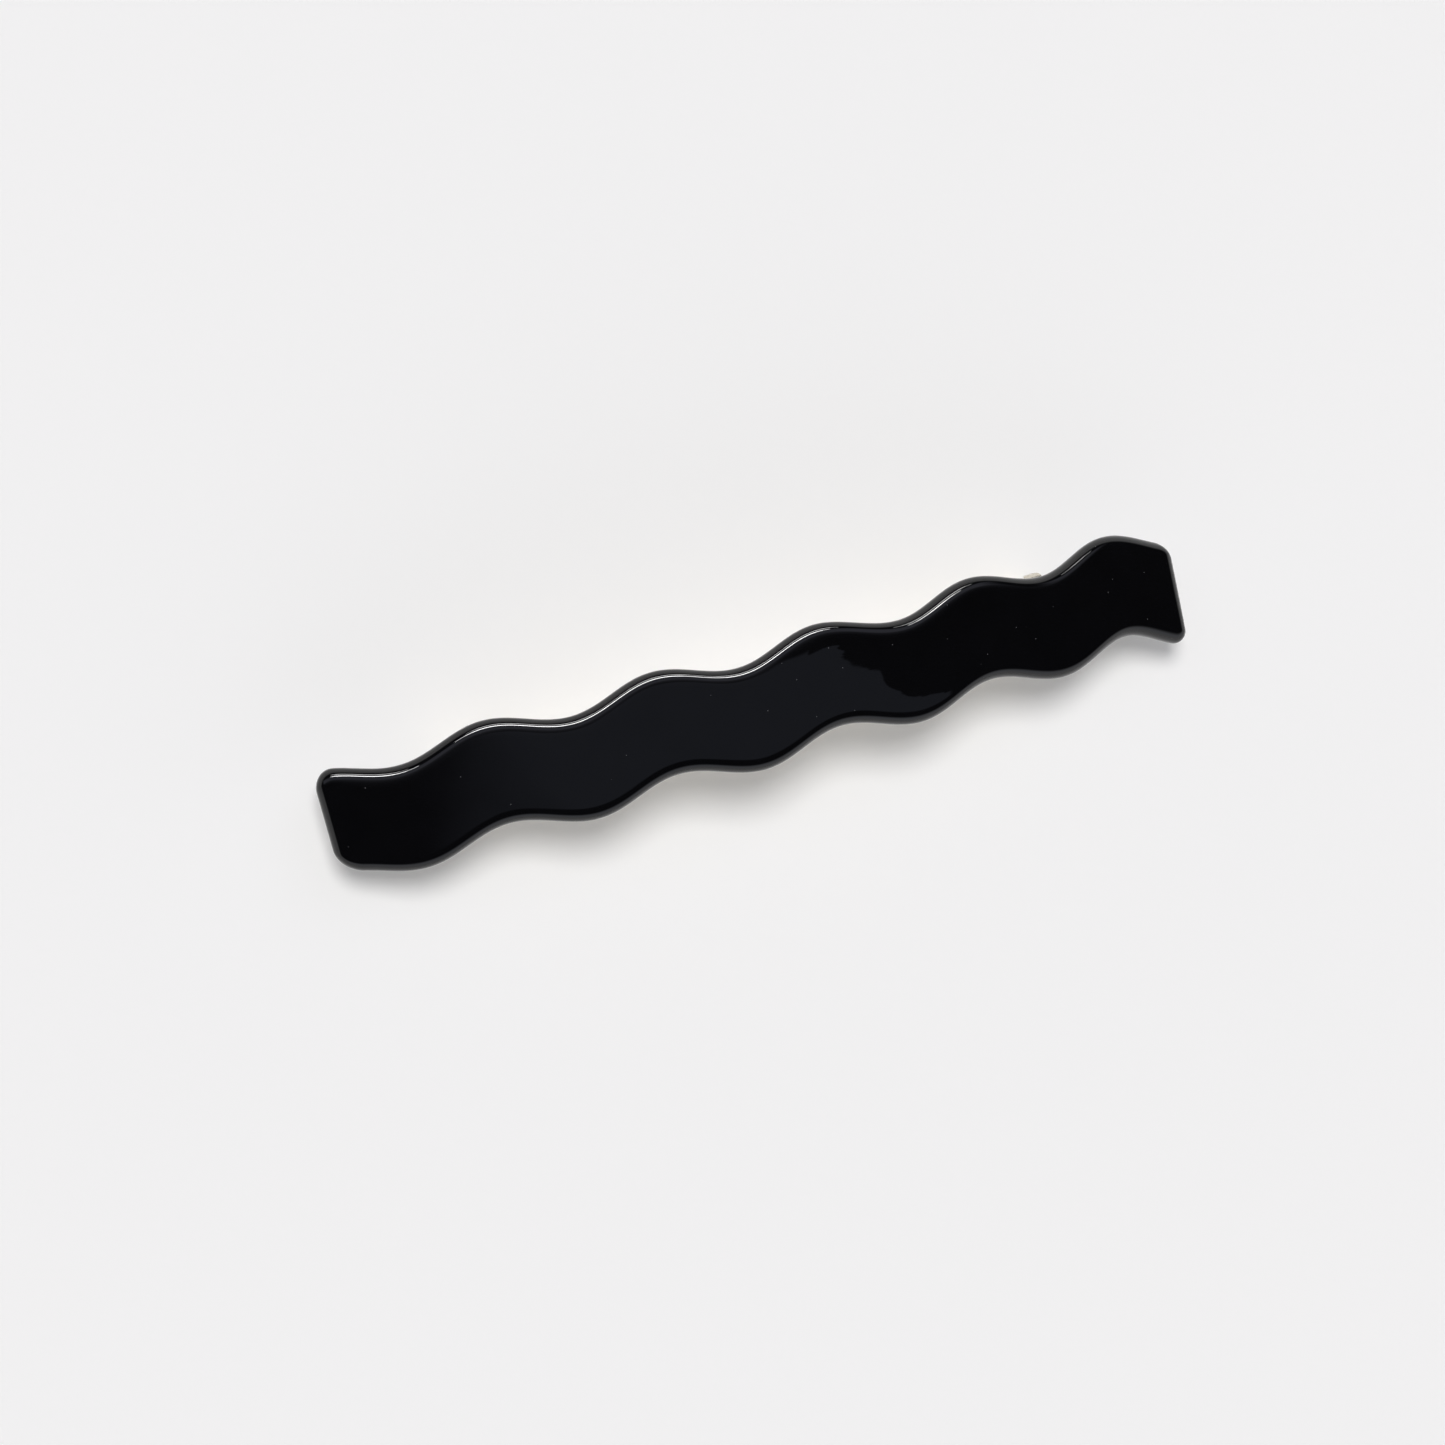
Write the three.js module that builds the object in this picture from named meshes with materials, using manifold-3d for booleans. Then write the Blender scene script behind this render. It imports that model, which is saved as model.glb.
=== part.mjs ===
// A wavy barrette: an arched acetate bar with a riveted spring clip behind it.
//
// Lengths are in millimetres. +X runs along the bar, +Y across it and +Z out of its face.
// Every curved piece follows one arch, so most places are given as (s, y, h): s is the
// distance along the bar's middle surface, y the distance across, h the height above it.
// The finished group stands on Z = 0, with the middle of its box over the origin.
import * as THREE from "three";
import { mergeVertices } from "three/addons/utils/BufferGeometryUtils.js";
import Module from "manifold-3d";

const wasm = await Module();
wasm.setup();

// ---- Driving dimensions ----

// Acetate bar
const ARCH_RADIUS = 133; // of the middle surface
const HALF_LENGTH = 48.05;
const HALF_WIDTH = 5.26;
const HALF_THICKNESS = 1.25;
const EDGE_RADIUS = 1.2;
const CORNERS_LEFT = { rear: 2.2, front: 2.6 }; // radii of the outline
const CORNERS_RIGHT = { rear: 1.8, front: 1.8 };
const WAVE_HEIGHT = 1;
const WAVE_PITCH = 17.6;
const WAVE_CREST = 4.55; // where one crest of the wave lies
const REAR_LAG = 0.45; // the waves of the +Y edge lie this far behind those of the other edge
const REAR_LAG_START = 6; // where that lag sets in
const REAR_LAG_END = 14; // where it is complete
const DROOP_START = 38; // past here the outline bends towards -Y
const DROOP_LEFT = 0.35; // at the bar's ends
const DROOP_RIGHT = 0.8;
const END_SLANT_RIGHT = 0.1; // the right end leans this much per millimetre across

// Clip
const PLATE_TOP = -1.35;
const PLATE_BOTTOM = -2.15;
const PLATE_HALF_WIDTH = 3.4;
const PLATE_END = 36.1;
const ARM_TOP = -9;
const ARM_BOTTOM = -9.8;
const ARM_HALF_WIDTH = 2.5;
const ARM_LEFT = -35.2;
const ARM_RIGHT = 36.5;
const HINGE_S = -32.5;
const PIN_HEIGHT = -5.5;
const PIN_RADIUS = 0.6;
const PIN_HEAD_RADIUS = 1;
const PIN_HEAD_THICKNESS = 0.5;
const PIN_HOLE_RADIUS = 0.75;
const LATCH_S = 33.4;
const SHEET = 0.45; // thickness of the spring strip

// Rivets
const RIVET_S = 20; // on both sides of the middle
const RIVET_RADIUS = 0.6;
const RIVET_HEAD_RADIUS = 1.4;
const RIVET_TIP = -0.25;
const BLIND_HOLE_TOP = -0.1;
const RIVET_CLEARANCE = 0.3; // round each shank
const REST_GAP = 0.1; // between flat faces that rest on each other
const PLAIN_HOLES = [-27, -13, -6.5, 6.5, 13, 27];
const PLAIN_HOLE_RADIUS = 0.8;

// Facets
const BODY_STEP = 1.6;
const STRIP_STEP = 2.3;
const ROUND_SEGMENTS = 16;
const CURVE_SEGMENTS = 8;
const EDGE_STEPS = 6; // along the half round of the bar's edge
const CORNER_STEPS = 5; // along the quarter round of its corners

// ---- Materials ----

const acetate = new THREE.MeshStandardMaterial({
  color: 0x060608,
  roughness: 0.06,
  metalness: 0,
});
const platedSteel = new THREE.MeshStandardMaterial({
  color: 0xd9c9a0,
  roughness: 0.28,
  metalness: 1,
});
const springSteel = new THREE.MeshStandardMaterial({
  color: 0xd2c4a2,
  roughness: 0.35,
  metalness: 1,
});

// ---- Places on the arch ----

function arch(s, y, h) {
  const angle = s / ARCH_RADIUS;
  const radius = ARCH_RADIUS + h;
  const x = radius * Math.sin(angle);
  const z = radius * Math.cos(angle) - ARCH_RADIUS;
  return new THREE.Vector3(x, y, z);
}

// A frame on the middle surface: its x runs along the arch and its z out of the face.
function frameAt(s) {
  const frame = new THREE.Matrix4().makeRotationY(s / ARCH_RADIUS);
  return frame.setPosition(arch(s, 0, 0));
}

// ---- Closed solids ----

function solid(geometry) {
  const bare = geometry.clone();
  bare.deleteAttribute("normal");
  bare.deleteAttribute("uv");
  const merged = mergeVertices(bare, 1e-4);
  const triVerts = Uint32Array.from(merged.index.array);
  const vertProperties = merged.attributes.position.array;
  return new wasm.Manifold(new wasm.Mesh({ numProp: 3, vertProperties, triVerts }));
}

function geometryOf(manifold) {
  const mesh = manifold.getMesh();
  const geometry = new THREE.BufferGeometry();
  geometry.setAttribute("position", new THREE.BufferAttribute(mesh.vertProperties, 3));
  geometry.setIndex(new THREE.BufferAttribute(mesh.triVerts, 1));
  geometry.computeVertexNormals();
  return geometry;
}

// Skins a row of rings, each a convex loop of points, and closes both ends.
function skin(rings) {
  const count = rings[0].length;
  const last = (rings.length - 1) * count;
  const faces = [];
  for (let start = 0; start < last; start += count) {
    for (let j = 0; j < count; j += 1) {
      const a = start + j;
      const b = start + ((j + 1) % count);
      faces.push(a, b, a + count);
      faces.push(b, b + count, a + count);
    }
  }
  for (let j = 1; j + 1 < count; j += 1) {
    faces.push(0, j + 1, j);
    faces.push(last, last + j, last + j + 1);
  }
  const geometry = new THREE.BufferGeometry().setFromPoints(rings.flat());
  geometry.setIndex(faces);
  return solid(geometry);
}

// A strip of rectangular section bent along the arch.
function strip(from, to, bottom, top, halfWidth) {
  const steps = Math.round((to - from) / STRIP_STEP);
  const rings = [];
  for (let i = 0; i <= steps; i += 1) {
    const s = from + ((to - from) * i) / steps;
    rings.push([
      arch(s, halfWidth, top),
      arch(s, -halfWidth, top),
      arch(s, -halfWidth, bottom),
      arch(s, halfWidth, bottom),
    ]);
  }
  return skin(rings);
}

const X = new THREE.Vector3(1, 0, 0);
const Y = new THREE.Vector3(0, 1, 0);
const Z = new THREE.Vector3(0, 0, 1);
const SHAPE_PLANES = {
  XY: new THREE.Matrix4().makeBasis(X, Y, Z),
  YZ: new THREE.Matrix4().makeBasis(Y, Z, X),
  XZ: new THREE.Matrix4().makeBasis(X, Z, Y.clone().negate()),
};

// A flat shape drawn in one plane and made thick along the third axis, from low to high.
function slab(shape, plane, low, high, frame = new THREE.Matrix4()) {
  const geometry = new THREE.ExtrudeGeometry(shape, {
    depth: high - low,
    bevelEnabled: false,
    curveSegments: CURVE_SEGMENTS,
  });
  geometry.translate(0, 0, plane === "XZ" ? -high : low);
  geometry.applyMatrix4(SHAPE_PLANES[plane]);
  geometry.applyMatrix4(frame);
  return solid(geometry);
}

// A turned solid round the local z axis, from a profile of [radius, z] points.
function turned(profile, frame = new THREE.Matrix4()) {
  const points = profile.map(([radius, z]) => new THREE.Vector2(radius, z));
  const geometry = new THREE.LatheGeometry(points, ROUND_SEGMENTS);
  geometry.rotateX(Math.PI / 2);
  geometry.applyMatrix4(frame);
  return solid(geometry);
}

function circle(x, y, radius) {
  const path = new THREE.Path();
  path.absarc(x, y, radius, 0, 2 * Math.PI, false);
  return path;
}

function roundedRectangle(x0, x1, halfWidth, radius) {
  const shape = new THREE.Shape();
  shape.moveTo(x0 + radius, -halfWidth);
  shape.lineTo(x1 - radius, -halfWidth);
  shape.absarc(x1 - radius, radius - halfWidth, radius, -Math.PI / 2, 0, false);
  shape.lineTo(x1, halfWidth - radius);
  shape.absarc(x1 - radius, halfWidth - radius, radius, 0, Math.PI / 2, false);
  shape.lineTo(x0 + radius, halfWidth);
  shape.absarc(x0 + radius, halfWidth - radius, radius, Math.PI / 2, Math.PI, false);
  shape.lineTo(x0, radius - halfWidth);
  shape.absarc(x0 + radius, radius - halfWidth, radius, Math.PI, 1.5 * Math.PI, false);
  return shape;
}

// Plan shapes cut straight through the clip's strips, from under it to above it.
const CUT_LOW = -25;
const CUT_HIGH = 5;

function planCut(shape) {
  return slab(shape, "XY", CUT_LOW, CUT_HIGH);
}

// ---- Acetate bar ----

function rearLag(s) {
  return REAR_LAG * THREE.MathUtils.smoothstep(s, REAR_LAG_START, REAR_LAG_END);
}

function bodyCentre(s, lag) {
  const wave = WAVE_HEIGHT * Math.cos((2 * Math.PI * (s - lag - WAVE_CREST)) / WAVE_PITCH);
  const past = Math.max(0, Math.abs(s) - DROOP_START) / (HALF_LENGTH - DROOP_START);
  const droop = s > 0 ? DROOP_RIGHT : DROOP_LEFT;
  return wave - droop * past ** 2;
}

// How far a round of this radius has pulled in at a distance from the end it closes.
function roundedInset(distance, radius) {
  const left = Math.max(0, radius - distance);
  return radius - Math.sqrt(radius ** 2 - left ** 2);
}

// One section across the bar: flat faces with half-round edges.
function bodyRing(s) {
  const fromEnd = HALF_LENGTH - Math.abs(s);
  const corners = s < 0 ? CORNERS_LEFT : CORNERS_RIGHT;
  const edge = EDGE_RADIUS - roundedInset(fromEnd, EDGE_RADIUS);
  const flat = HALF_THICKNESS - EDGE_RADIUS;
  const reach = Math.max(0, s - DROOP_START) / (HALF_LENGTH - DROOP_START);
  const slant = END_SLANT_RIGHT * reach;
  const ring = [];
  for (const side of [1, -1]) {
    const centre = bodyCentre(s, side > 0 ? rearLag(s) : 0);
    const halfWidth = HALF_WIDTH - roundedInset(fromEnd, side > 0 ? corners.rear : corners.front);
    for (let i = 0; i <= EDGE_STEPS; i += 1) {
      const angle = Math.PI * (i / EDGE_STEPS - 0.5);
      const y = side * (halfWidth - edge + edge * Math.cos(angle));
      const h = side * (edge * Math.sin(angle) + flat * Math.sign(i - EDGE_STEPS / 2));
      ring.push(arch(s + slant * y, centre + y, h));
    }
  }
  return ring;
}

function bodyStations() {
  const leftRun = Math.max(CORNERS_LEFT.rear, CORNERS_LEFT.front);
  const rightRun = Math.max(CORNERS_RIGHT.rear, CORNERS_RIGHT.front);
  const left = leftRun - HALF_LENGTH;
  const right = HALF_LENGTH - rightRun;
  const steps = Math.round((right - left) / BODY_STEP);
  const stations = [];
  for (let i = 1; i < steps; i += 1) stations.push(left + ((right - left) * i) / steps);
  for (let i = 0; i <= CORNER_STEPS; i += 1) {
    const reach = Math.sin((Math.PI / 2) * (i / CORNER_STEPS));
    stations.push(right + rightRun * reach);
    stations.unshift(left - leftRun * reach);
  }
  return stations;
}

function waveBody() {
  let body = skin(bodyStations().map(bodyRing));
  for (const s of [-RIVET_S, RIVET_S]) {
    const radius = RIVET_RADIUS + RIVET_CLEARANCE;
    const bottom = -2 * HALF_THICKNESS;
    const profile = [
      [0, bottom],
      [radius, bottom],
      [radius, BLIND_HOLE_TOP],
      [0, BLIND_HOLE_TOP],
    ];
    body = body.subtract(turned(profile, frameAt(s)));
  }
  return body;
}

// ---- Base plate ----

const EAR_RADIUS = 1.6;
const EAR_THICKNESS = 0.65;
const PLATE_END_RADIUS = 2.4;
const LATCH_RIVET_RADIUS = 0.5;
const LATCH_RIVET_HOLE_RADIUS = 0.7;

// A hinge leaf seen from the side: straight from its strip to a round eye at the pin.
function hingeLeaf(radius, stripHeight) {
  const shape = new THREE.Shape();
  const upwards = stripHeight < PIN_HEIGHT;
  shape.moveTo(-radius, stripHeight);
  shape.lineTo(-radius, PIN_HEIGHT);
  shape.absarc(0, PIN_HEIGHT, radius, Math.PI, 0, upwards);
  shape.lineTo(radius, stripHeight);
  shape.holes.push(circle(0, PIN_HEIGHT, PIN_HOLE_RADIUS));
  return shape;
}

function basePlate() {
  const end = arch(PLATE_END, 0, PLATE_TOP).x;
  const outline = roundedRectangle(-end, end, PLATE_HALF_WIDTH, PLATE_END_RADIUS);
  const middle = (PLATE_TOP + PLATE_BOTTOM) / 2;
  for (const s of PLAIN_HOLES) {
    outline.holes.push(circle(arch(s, 0, middle).x, 0, PLAIN_HOLE_RADIUS));
  }
  let plate = strip(-PLATE_END, PLATE_END, PLATE_BOTTOM, PLATE_TOP, PLATE_HALF_WIDTH);
  plate = plate.intersect(planCut(outline));
  const holes = [
    [-RIVET_S, RIVET_RADIUS + RIVET_CLEARANCE],
    [RIVET_S, RIVET_RADIUS + RIVET_CLEARANCE],
    [LATCH_S, LATCH_RIVET_HOLE_RADIUS],
  ];
  for (const [s, radius] of holes) {
    const profile = [
      [0, PLATE_BOTTOM - 1],
      [radius, PLATE_BOTTOM - 1],
      [radius, PLATE_TOP + 1],
      [0, PLATE_TOP + 1],
    ];
    plate = plate.subtract(turned(profile, frameAt(s)));
  }
  const leaf = hingeLeaf(EAR_RADIUS, middle);
  const inner = PLATE_HALF_WIDTH - EAR_THICKNESS;
  const frame = frameAt(HINGE_S);
  plate = plate.add(slab(leaf, "XZ", inner, PLATE_HALF_WIDTH, frame));
  return plate.add(slab(leaf, "XZ", -PLATE_HALF_WIDTH, -inner, frame));
}

// ---- Rivets and pin ----

const FIXING_HEAD_HEIGHT = 0.65;
const HEAD_CHAMFER = 0.4;

// A rivet with a domed head under a plate and a plain shank up through it.
function rivet(s, plateBottom, tip, radius, headRadius, headHeight) {
  const seat = plateBottom - REST_GAP;
  const profile = [
    [0, seat - headHeight],
    [headRadius - HEAD_CHAMFER, seat - headHeight],
    [headRadius, seat - headHeight / 3],
    [headRadius, seat],
    [radius, seat],
    [radius, tip],
    [0, tip],
  ];
  return turned(profile, frameAt(s));
}

function fixingRivet(s) {
  const args = [RIVET_TIP, RIVET_RADIUS, RIVET_HEAD_RADIUS, FIXING_HEAD_HEIGHT];
  return rivet(s, PLATE_BOTTOM, ...args);
}

function hingePin() {
  const shank = PLATE_HALF_WIDTH + 1.5 * REST_GAP;
  const end = shank + PIN_HEAD_THICKNESS;
  const profile = [
    [0, -end],
    [PIN_HEAD_RADIUS, -end],
    [PIN_HEAD_RADIUS, -shank],
    [PIN_RADIUS, -shank],
    [PIN_RADIUS, shank],
    [PIN_HEAD_RADIUS, shank],
    [PIN_HEAD_RADIUS, end],
    [0, end],
  ];
  const acrossFrame = frameAt(HINGE_S);
  acrossFrame.multiply(new THREE.Matrix4().makeTranslation(0, 0, PIN_HEIGHT));
  acrossFrame.multiply(new THREE.Matrix4().makeRotationX(Math.PI / 2));
  return turned(profile, acrossFrame);
}

// ---- Clasp arm ----

const LUG_RADIUS = 1.35;
const LUG_INNER = 1.85;
const LUG_OUTER = 2.45;
const LATCH_FRAME_HALF_WIDTH = 3.9;
const LATCH_FRAME_START = 30.3;
const LATCH_FRAME_FLARE = 1.6;
const SLOT_HALF_WIDTH = 2.9;
const SLOT_HALF_LENGTH = 1.9;

function claspArm() {
  const left = arch(ARM_LEFT, 0, ARM_TOP).x;
  const right = arch(ARM_RIGHT, 0, ARM_BOTTOM).x + 1;
  const flareEnd = arch(LATCH_FRAME_START, 0, ARM_TOP).x;
  const outline = new THREE.Shape();
  outline.moveTo(left - 1, -ARM_HALF_WIDTH);
  outline.lineTo(flareEnd - LATCH_FRAME_FLARE, -ARM_HALF_WIDTH);
  outline.lineTo(flareEnd, -LATCH_FRAME_HALF_WIDTH);
  outline.lineTo(right, -LATCH_FRAME_HALF_WIDTH);
  outline.lineTo(right, LATCH_FRAME_HALF_WIDTH);
  outline.lineTo(flareEnd, LATCH_FRAME_HALF_WIDTH);
  outline.lineTo(flareEnd - LATCH_FRAME_FLARE, ARM_HALF_WIDTH);
  outline.lineTo(left - 1, ARM_HALF_WIDTH);
  let arm = strip(ARM_LEFT, ARM_RIGHT, ARM_BOTTOM, ARM_TOP, LATCH_FRAME_HALF_WIDTH);
  arm = arm.intersect(planCut(outline));
  const slot = roundedRectangle(-SLOT_HALF_LENGTH, SLOT_HALF_LENGTH, SLOT_HALF_WIDTH, 0.4);
  arm = arm.subtract(slab(slot, "XY", ARM_BOTTOM - 1, ARM_TOP + 1, frameAt(LATCH_S)));
  const leaf = hingeLeaf(LUG_RADIUS, (ARM_TOP + ARM_BOTTOM) / 2);
  const frame = frameAt(HINGE_S);
  arm = arm.add(slab(leaf, "XZ", LUG_INNER, LUG_OUTER, frame));
  return arm.add(slab(leaf, "XZ", -LUG_OUTER, -LUG_INNER, frame));
}

// ---- Tension bar ----

const BAR_START = -31.6;
const BAR_END = 28.4;
const BAR_LOWEST_S = -1;
const BAR_LOWEST = -7.5;
const BAR_BOW = 0.0018; // rise per square millimetre from its lowest point
const BAR_HALF_WIDTH = 2;
const BAR_NECK_HALF_WIDTH = 1.55;
const BAR_NECK_END = -29.5;
const BAR_NECK_TAPER = 2;
const BAR_TIP_RADIUS = 1.9;

function barHeight(s) {
  return BAR_LOWEST + BAR_BOW * (s - BAR_LOWEST_S) ** 2;
}

function tensionBar() {
  const steps = Math.round((BAR_END - BAR_START) / STRIP_STEP);
  const rings = [];
  for (let i = 0; i <= steps; i += 1) {
    const s = BAR_START + ((BAR_END - BAR_START) * i) / steps;
    const top = barHeight(s) + SHEET / 2;
    const bottom = barHeight(s) - SHEET / 2;
    rings.push([
      arch(s, BAR_HALF_WIDTH, top),
      arch(s, -BAR_HALF_WIDTH, top),
      arch(s, -BAR_HALF_WIDTH, bottom),
      arch(s, BAR_HALF_WIDTH, bottom),
    ]);
  }
  const neck = arch(BAR_NECK_END, 0, barHeight(BAR_NECK_END)).x;
  const tip = arch(BAR_END, 0, barHeight(BAR_END)).x;
  const start = arch(BAR_START, 0, barHeight(BAR_START)).x - 1;
  const outline = new THREE.Shape();
  outline.moveTo(start, -BAR_NECK_HALF_WIDTH);
  outline.lineTo(neck, -BAR_NECK_HALF_WIDTH);
  outline.lineTo(neck + BAR_NECK_TAPER, -BAR_HALF_WIDTH);
  outline.lineTo(tip - BAR_TIP_RADIUS, -BAR_HALF_WIDTH);
  outline.absellipse(
    tip - BAR_TIP_RADIUS, 0, BAR_TIP_RADIUS, BAR_HALF_WIDTH, -Math.PI / 2, Math.PI / 2, false,
  );
  outline.lineTo(neck + BAR_NECK_TAPER, BAR_HALF_WIDTH);
  outline.lineTo(neck, BAR_NECK_HALF_WIDTH);
  outline.lineTo(start, BAR_NECK_HALF_WIDTH);
  const curl = new THREE.Shape();
  curl.absarc(0, PIN_HEIGHT, PIN_HOLE_RADIUS + SHEET, 0, 2 * Math.PI, false);
  curl.holes.push(circle(0, PIN_HEIGHT, PIN_HOLE_RADIUS));
  const eye = slab(curl, "XZ", -BAR_NECK_HALF_WIDTH, BAR_NECK_HALF_WIDTH, frameAt(HINGE_S));
  return skin(rings).intersect(planCut(outline)).add(eye);
}

// ---- Pinch latch ----

const BRIDGE_TOP = PLATE_BOTTOM - REST_GAP;
const BRIDGE_BOTTOM = BRIDGE_TOP - 0.5;
const BRIDGE_HALF_LENGTH = 1.7;
const BRIDGE_HALF_WIDTH = 1.5;
const LATCH_RIVET_HEAD_RADIUS = 0.95;
const LATCH_RIVET_HEAD_HEIGHT = 0.4;
const LATCH_RIVET_TIP = -1.45;
const LEG_INNER = 1.8;
const LEG_OUTER = LEG_INNER + SHEET;
const LEG_TOP = -2.55;
const LEG_HALF_LENGTH = 1.3;
const HOOK_TOP = -9.95;
const HOOK_REACH = 2.7;
const HOOK_TIP = -10.25;
const TAB_TOP = -4;
const TAB_REACH = 4.7;
const TAB_DROP = 0.5;
const TAB_HALF_LENGTH = 1.1;

function latchBridge() {
  const half = BRIDGE_HALF_LENGTH;
  const outline = roundedRectangle(-half, half, BRIDGE_HALF_WIDTH, 0.3);
  outline.holes.push(circle(0, 0, LATCH_RIVET_HOLE_RADIUS));
  return slab(outline, "XY", BRIDGE_BOTTOM, BRIDGE_TOP, frameAt(LATCH_S));
}

function latchRivet() {
  const size = [LATCH_RIVET_RADIUS, LATCH_RIVET_HEAD_RADIUS, LATCH_RIVET_HEAD_HEIGHT];
  return rivet(LATCH_S, BRIDGE_BOTTOM, LATCH_RIVET_TIP, ...size);
}

// A sprung leg with an outward hook at its foot and a finger tab half way down.
function latchProng(side) {
  const leg = new THREE.Shape();
  leg.moveTo(LEG_INNER, LEG_TOP);
  leg.lineTo(LEG_INNER, HOOK_TIP);
  leg.lineTo(LEG_OUTER, HOOK_TIP);
  leg.lineTo(HOOK_REACH, HOOK_TOP);
  leg.lineTo(LEG_OUTER, HOOK_TOP);
  leg.lineTo(LEG_OUTER, LEG_TOP);
  const tab = new THREE.Shape();
  const bend = TAB_REACH - TAB_DROP;
  const middle = (LEG_INNER + LEG_OUTER) / 2;
  tab.moveTo(middle, TAB_TOP);
  tab.lineTo(middle, TAB_TOP - SHEET);
  tab.lineTo(bend, TAB_TOP - SHEET);
  tab.lineTo(TAB_REACH - SHEET, TAB_TOP - 2 * TAB_DROP);
  tab.lineTo(TAB_REACH, TAB_TOP - 2 * TAB_DROP);
  tab.lineTo(TAB_REACH, TAB_TOP - TAB_DROP);
  tab.lineTo(bend, TAB_TOP);
  const frame = frameAt(LATCH_S);
  if (side < 0) frame.multiply(new THREE.Matrix4().makeRotationZ(Math.PI));
  const upright = slab(leg, "YZ", -LEG_HALF_LENGTH, LEG_HALF_LENGTH, frame);
  return upright.add(slab(tab, "YZ", -TAB_HALF_LENGTH, TAB_HALF_LENGTH, frame));
}

// ---- Assembly ----

const barrette = new THREE.Group();

function addPiece(name, manifold, material) {
  const mesh = new THREE.Mesh(geometryOf(manifold), material);
  mesh.name = name;
  barrette.add(mesh);
}

addPiece("wave_body", waveBody(), acetate);
addPiece("base_plate", basePlate(), platedSteel);
addPiece("fixing_rivet_left", fixingRivet(-RIVET_S), platedSteel);
addPiece("fixing_rivet_right", fixingRivet(RIVET_S), platedSteel);
addPiece("hinge_pin", hingePin(), platedSteel);
addPiece("clasp_arm", claspArm(), platedSteel);
addPiece("tension_bar", tensionBar(), springSteel);
addPiece("latch_bridge", latchBridge(), springSteel);
addPiece("latch_rivet", latchRivet(), platedSteel);
addPiece("latch_prong_front", latchProng(-1), springSteel);
addPiece("latch_prong_rear", latchProng(1), springSteel);

// Stand the group on Z = 0 with the middle of its box over the origin.
const box = new THREE.Box3().setFromObject(barrette);
const middle = box.getCenter(new THREE.Vector3());
barrette.position.set(-middle.x, -middle.y, -box.min.z);

export default barrette;
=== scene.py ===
"""A studio scene of a wavy acetate barrette on its riveted spring clip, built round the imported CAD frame.

Named lengths are in millimetres, as on a drawing. Meshes are made in millimetres about the middle of the
bar's arch, and add_piece() brings each one into the frame, in metres.
"""

import math

import bmesh
import bpy
from mathutils import Matrix, Vector


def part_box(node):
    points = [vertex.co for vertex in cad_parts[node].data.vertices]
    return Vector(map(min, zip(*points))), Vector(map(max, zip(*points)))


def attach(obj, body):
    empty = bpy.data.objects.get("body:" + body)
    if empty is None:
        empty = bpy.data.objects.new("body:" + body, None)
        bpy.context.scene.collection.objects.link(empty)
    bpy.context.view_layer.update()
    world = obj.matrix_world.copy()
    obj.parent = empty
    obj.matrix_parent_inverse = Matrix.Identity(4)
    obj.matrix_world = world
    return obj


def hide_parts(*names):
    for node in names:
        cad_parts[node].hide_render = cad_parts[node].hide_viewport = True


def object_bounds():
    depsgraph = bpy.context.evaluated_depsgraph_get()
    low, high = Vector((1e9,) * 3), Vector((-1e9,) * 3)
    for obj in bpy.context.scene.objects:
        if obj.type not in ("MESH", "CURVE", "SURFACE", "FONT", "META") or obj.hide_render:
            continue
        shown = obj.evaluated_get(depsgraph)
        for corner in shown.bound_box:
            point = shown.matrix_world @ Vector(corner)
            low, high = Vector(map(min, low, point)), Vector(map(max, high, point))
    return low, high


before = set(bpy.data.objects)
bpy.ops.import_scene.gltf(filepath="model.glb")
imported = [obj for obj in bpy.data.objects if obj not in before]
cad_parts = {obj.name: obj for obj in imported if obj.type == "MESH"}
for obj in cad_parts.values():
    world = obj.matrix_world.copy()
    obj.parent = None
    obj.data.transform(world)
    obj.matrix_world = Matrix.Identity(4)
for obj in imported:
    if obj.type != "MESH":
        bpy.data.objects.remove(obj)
cad_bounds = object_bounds()

MM = 0.001

# ---- Driving dimensions, as in the CAD ----

ARCH_RADIUS = 133.0
HALF_LENGTH = 48.05
HALF_WIDTH = 5.26
HALF_THICKNESS = 1.25
EDGE_RADIUS = 1.2
CORNERS_LEFT = (2.2, 2.6)  # rear and front
CORNERS_RIGHT = (1.8, 1.8)
WAVE_HEIGHT = 1.0
WAVE_PITCH = 17.6
WAVE_CREST = 4.55
REAR_LAG = 0.45
REAR_LAG_START = 6.0
REAR_LAG_END = 14.0
DROOP_START = 38.0
DROOP_LEFT = 0.35
DROOP_RIGHT = 0.8
END_SLANT_RIGHT = 0.1

PLATE_TOP = -1.35
PLATE_BOTTOM = -2.15
PLATE_HALF_WIDTH = 3.4
PLATE_END = 36.1
EAR_RADIUS = 1.6
PLAIN_HOLES = (-27.0, -13.0, -6.5, 6.5, 13.0, 27.0)
PLAIN_HOLE_RADIUS = 0.8
ARM_TOP = -9.0
ARM_BOTTOM = -9.8
ARM_HALF_WIDTH = 2.5
ARM_LEFT = -35.2
ARM_RIGHT = 36.5
LUG_RADIUS = 1.35
LUG_OUTSIDE = 2.45
LATCH_FRAME_HALF_WIDTH = 3.9
LATCH_FRAME_START = 30.3
LATCH_FRAME_NECK = 28.7
SLOT_HALF_LENGTH = 1.9
SLOT_HALF_WIDTH = 2.9
HINGE_S = -32.5
PIN_HEIGHT = -5.5
PIN_RADIUS = 0.6
EYE_RADIUS = 0.64
LATCH_S = 33.4
SHEET = 0.45  # thickness of the spring steel
ROLLED_EDGE = 0.1
RIVET_S = 20.0
RIVET_RADIUS = 0.6
LATCH_RIVET_RADIUS = 0.5


# ---- Places on the arch ----


def arch(s, y, h):
    """The place at distance s along the arch, y across it and h above its middle surface."""
    angle = s / ARCH_RADIUS
    radius = ARCH_RADIUS + h
    return Vector((radius * math.sin(angle), y, radius * math.cos(angle) - ARCH_RADIUS))


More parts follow.
